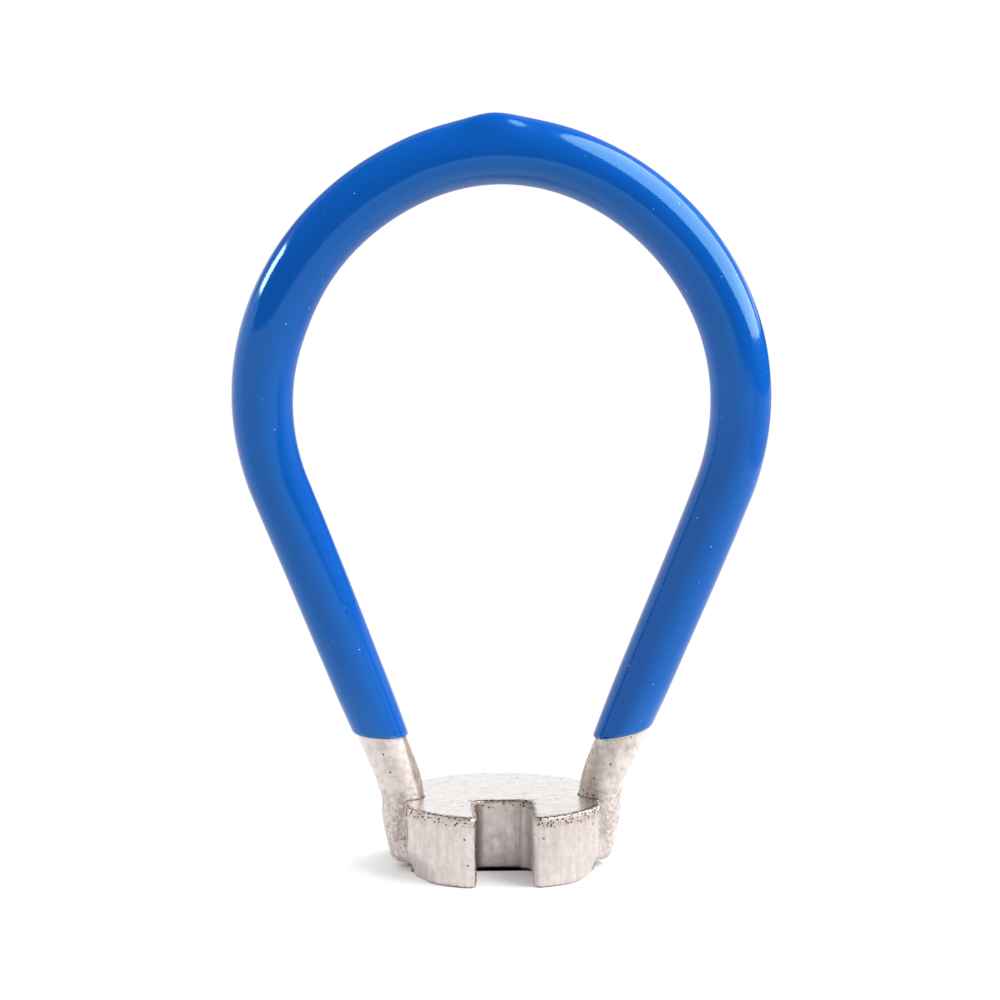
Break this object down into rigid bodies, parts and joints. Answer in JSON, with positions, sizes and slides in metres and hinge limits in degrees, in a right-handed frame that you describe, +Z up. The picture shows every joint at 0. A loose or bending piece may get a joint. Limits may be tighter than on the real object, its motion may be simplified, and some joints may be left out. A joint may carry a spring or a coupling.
{
  "type": "spoke wrench",
  "caption": "Pocket spoke wrench: a flat round steel jaw, slotted from the front, brazed to a bent rod loop dipped in blue vinyl as the finger grip.",
  "frame": {"origin": "centre of the jaw's underside, on the axis of its round body; the tool stands upright on this face", "axes": "+Z up from the jaw to the crown of the loop and along the spoke, +X across the loop, -Y out of the slot's mouth"},
  "size_m": [0.038, 0.0149, 0.0534],
  "materials": {
    "jaw_steel": "sintered steel, dull nickel plate",
    "rod_steel": "drawn steel rod, dull nickel plate",
    "braze": "rough braze under dull nickel plate",
    "vinyl": "glossy dipped vinyl"
  },
  "bodies": {
    "root": {"jaw": "jaw_steel", "loop_rod": "rod_steel", "braze_left": "braze", "braze_right": "braze", "vinyl_sleeve": "vinyl"}
  },
  "joints": []
}
